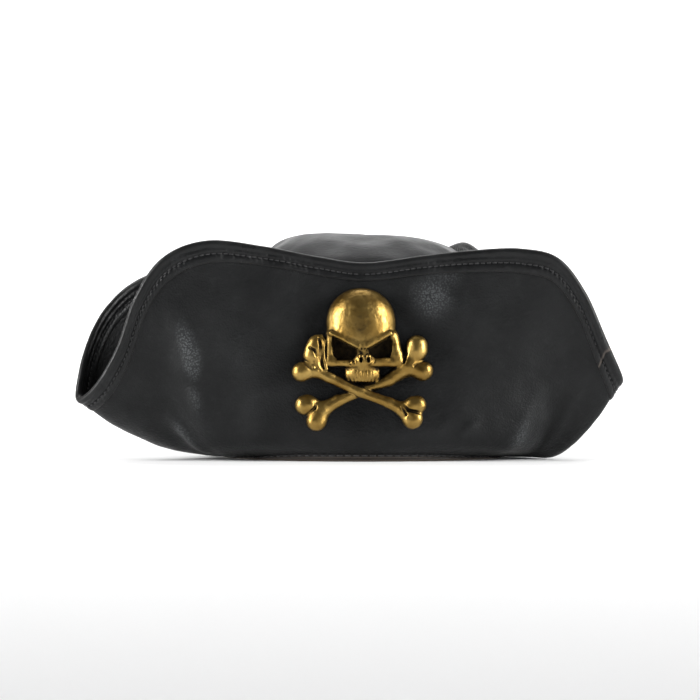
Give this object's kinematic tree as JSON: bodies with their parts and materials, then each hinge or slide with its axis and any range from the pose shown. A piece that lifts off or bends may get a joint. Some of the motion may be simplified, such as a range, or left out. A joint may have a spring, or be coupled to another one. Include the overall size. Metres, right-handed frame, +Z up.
{
  "type": "three-cornered hat",
  "caption": "Leather hat with a domed crown, a brim cocked up into three walls with a bound edge, and a cast skull-and-crossbones badge on the front.",
  "frame": {"origin": "on the surface the hat stands on, under the middle of its bounding box", "axes": "+Z up, -Y out of the front wall that carries the badge, +X to the right of someone who looks at the badge"},
  "size_m": [0.3114, 0.2983, 0.1318],
  "materials": {
    "black_leather": "satin, fine grain",
    "crown_leather": "semi-gloss, smooth",
    "brown_leather": "matt, undyed edge",
    "lining_cloth": "plain weave",
    "black_thread": "waxed thread",
    "aged_brass": "cast, dark in the hollows",
    "steel": "plain"
  },
  "bodies": {
    "root": {"crown_band": "crown_leather", "crown_tip": "crown_leather", "crown_tip_thread": "black_thread", "lining": "lining_cloth", "sweatband": "brown_leather", "foot_thread": "black_thread", "brim": "black_leather", "edge_wire": "steel", "edge_binding": "black_leather", "binding_thread_outer": "black_thread", "binding_thread_inner": "black_thread", "skull_badge": "aged_brass", "badge_washer_upper": "steel", "badge_washer_lower": "steel", "badge_screw_upper": "steel", "badge_screw_lower": "steel"}
  },
  "joints": []
}
